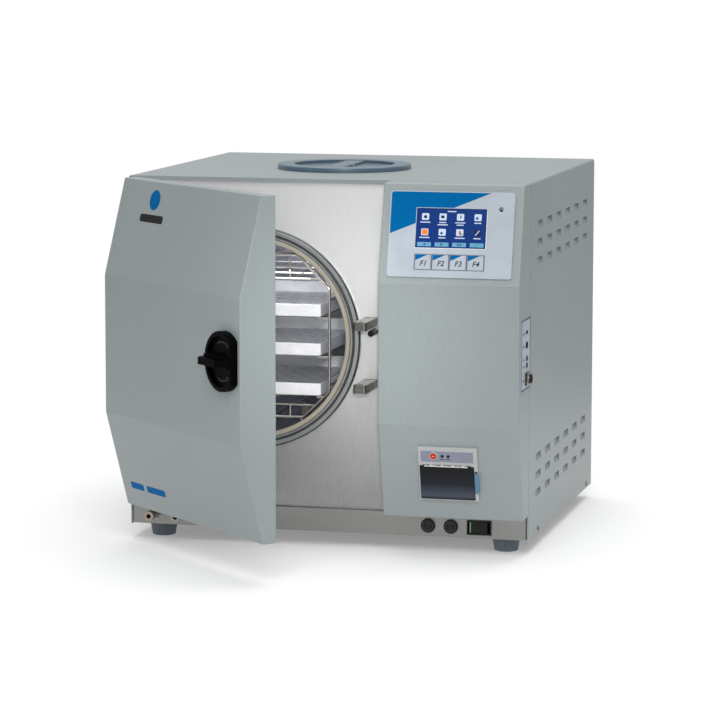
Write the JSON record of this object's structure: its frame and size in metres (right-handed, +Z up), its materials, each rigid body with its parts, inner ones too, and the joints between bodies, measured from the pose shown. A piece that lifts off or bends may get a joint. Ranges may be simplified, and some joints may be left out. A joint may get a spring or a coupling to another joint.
{
  "type": "benchtop autoclave",
  "caption": "Benchtop steam autoclave: folded sheet cabinet with a round chamber, hinged locking door, wire tray rack, control fascia with display and receipt printer, and rubber feet.",
  "frame": {"origin": "centre of the rectangle of feet, on the surface the cabinet stands on", "axes": "+X from the hinge side to the control side, +Y from the front to the back, +Z up"},
  "size_m": [0.5518, 0.7701, 0.4815],
  "materials": {
    "painted_grey": "textured powder coat",
    "stainless": "brushed",
    "stainless_dull": "satin",
    "silicone": "matte silicone",
    "rubber_feet": "matte",
    "black_plastic": "satin",
    "panel_plastic": "satin",
    "screen_navy": "glossy",
    "board_green": "solder mask",
    "printer_plastic": "satin",
    "printer_smoke": "glossy",
    "lever_blue": "satin",
    "button_orange": "satin",
    "paper_white": "matte",
    "lid_plastic": "translucent",
    "brass_body": "satin",
    "port_label": "satin",
    "cast_pump": "painted",
    "fin_aluminium": "mill",
    "insulation": "woven glass",
    "heater_film": "matte",
    "tank_plastic": "natural"
  },
  "bodies": {
    "cabinet": {"base_tray": "stainless_dull", "outer_cover": "painted_grey", "front_plate": "stainless", "rear_panel": "painted_grey", "cover_screws": "stainless_dull", "feet": "rubber_feet", "foot_screws": "stainless_dull", "chamber_flange": "stainless", "door_gasket": "silicone", "chamber_vessel": "stainless_dull", "heater_band": "heater_film", "insulation_jacket": "insulation", "chamber_cradles": "stainless_dull", "safety_valve": "brass_body", "tray_1": "stainless", "tray_2": "stainless", "tray_3": "stainless", "tray_rack": "stainless", "hinge_brackets": "stainless_dull", "hinge_pins": "stainless", "lock_lugs": "stainless", "control_fascia": "painted_grey", "display_bezel": "panel_plastic", "display_screen": "screen_navy", "control_board": "board_green", "port_plate": "port_label", "port_sockets": "black_plastic", "printer_frame": "printer_plastic", "switch_housing": "black_plastic", "fuse_holders": "black_plastic", "drain_nipples": "stainless", "water_tank": "tank_plastic", "vacuum_pump": "cast_pump", "valve_manifold": "brass_body", "condenser": "fin_aluminium", "fan_frame": "black_plastic", "mains_inlet": "black_plastic"},
    "door": {"door_shell": "painted_grey", "door_liner": "stainless", "pressure_disc": "stainless_dull", "door_beam": "stainless_dull", "lock_guides": "stainless_dull"},
    "handle": {"door_handle": "black_plastic", "handle_shaft": "stainless_dull"},
    "lock_bar": {"lock_bar": "stainless_dull"},
    "door_switch": {"door_switch": "black_plastic"},
    "key_f1": {"key_f1": "panel_plastic"},
    "key_f2": {"key_f2": "panel_plastic"},
    "key_f3": {"key_f3": "panel_plastic"},
    "key_f4": {"key_f4": "panel_plastic"},
    "printer_door": {"printer_door": "printer_smoke"},
    "printer_lever": {"printer_lever": "lever_blue"},
    "printer_button": {"printer_button": "button_orange"},
    "paper_roll": {"paper_roll": "paper_white"},
    "power_rocker": {"power_rocker": "black_plastic"},
    "fuse_cap_1": {"fuse_cap_1": "black_plastic"},
    "fuse_cap_2": {"fuse_cap_2": "black_plastic"},
    "reservoir_lid": {"reservoir_lid": "lid_plastic"},
    "fan_rotor": {"fan_rotor": "black_plastic"}
  },
  "joints": [
    {"name": "door_hinge", "type": "hinge", "parent": "cabinet", "child": "door", "pos_m": [-0.2573, -0.2744, 0.262], "axis": [0, 0, -1], "range_deg": [-43.5, 65]},
    {"name": "handle_turn", "type": "hinge", "parent": "door", "child": "handle", "pos_m": [-0.05459, -0.50068, 0.274], "axis": [0.6884, 0.7254, 0], "range_deg": [0, 90]},
    {"name": "lock_slide", "type": "slide", "parent": "door", "child": "lock_bar", "axis": [0, 0, -1], "range_m": [0, 0.01415]},
    {"name": "door_switch_press", "type": "slide", "parent": "cabinet", "child": "door_switch", "axis": [0, 1, 0], "range_m": [0, 0.006], "stiffness_N_per_m": 150},
    {"name": "key_f1_press", "type": "slide", "parent": "cabinet", "child": "key_f1", "axis": [0, 0.9708, -0.2399], "range_m": [0, 0.0005], "stiffness_N_per_m": 800},
    {"name": "key_f2_press", "type": "slide", "parent": "cabinet", "child": "key_f2", "axis": [0, 0.9708, -0.2399], "range_m": [0, 0.0005], "stiffness_N_per_m": 800},
    {"name": "key_f3_press", "type": "slide", "parent": "cabinet", "child": "key_f3", "axis": [0, 0.9708, -0.2399], "range_m": [0, 0.0005], "stiffness_N_per_m": 800},
    {"name": "key_f4_press", "type": "slide", "parent": "cabinet", "child": "key_f4", "axis": [0, 0.9708, -0.2399], "range_m": [0, 0.0005], "stiffness_N_per_m": 800},
    {"name": "printer_door_hinge", "type": "hinge", "parent": "cabinet", "child": "printer_door", "pos_m": [0.171, -0.27667, 0.07806], "axis": [1, 0, 0], "range_deg": [0, 80]},
    {"name": "printer_lever_hinge", "type": "hinge", "parent": "cabinet", "child": "printer_lever", "pos_m": [0.2085, -0.28053, 0.08946], "axis": [1, 0, 0], "range_deg": [0, 20]},
    {"name": "printer_button_press", "type": "slide", "parent": "cabinet", "child": "printer_button", "axis": [0, 0.9684, 0.2494], "range_m": [0, 0.0009], "stiffness_N_per_m": 500},
    {"name": "paper_roll_spin", "type": "hinge", "parent": "cabinet", "child": "paper_roll", "pos_m": [0.172, -0.25968, 0.10071], "axis": [1, 0, 0], "continuous": true},
    {"name": "power_rocker_tilt", "type": "hinge", "parent": "cabinet", "child": "power_rocker", "pos_m": [0.201, -0.225, 0.033], "axis": [0, 0, 1], "range_deg": [0, 16]},
    {"name": "fuse_cap_1_turn", "type": "hinge", "parent": "cabinet", "child": "fuse_cap_1", "pos_m": [0.164, -0.2285, 0.033], "axis": [0, -1, 0], "range_deg": [-45, 0]},
    {"name": "fuse_cap_2_turn", "type": "hinge", "parent": "cabinet", "child": "fuse_cap_2", "pos_m": [0.134, -0.2285, 0.033], "axis": [0, -1, 0], "range_deg": [-45, 0]},
    {"name": "reservoir_lid_lift", "type": "slide", "parent": "cabinet", "child": "reservoir_lid", "axis": [0, 0, 1], "range_m": [0, 0.03]},
    {"name": "fan_spin", "type": "hinge", "parent": "cabinet", "child": "fan_rotor", "pos_m": [0.145, 0.214, 0.168], "axis": [0, 1, 0], "continuous": true}
  ],
  "couplings": [
    {"joint": "lock_slide", "follows": "handle_turn", "m_per_rad": 0.009}
  ]
}
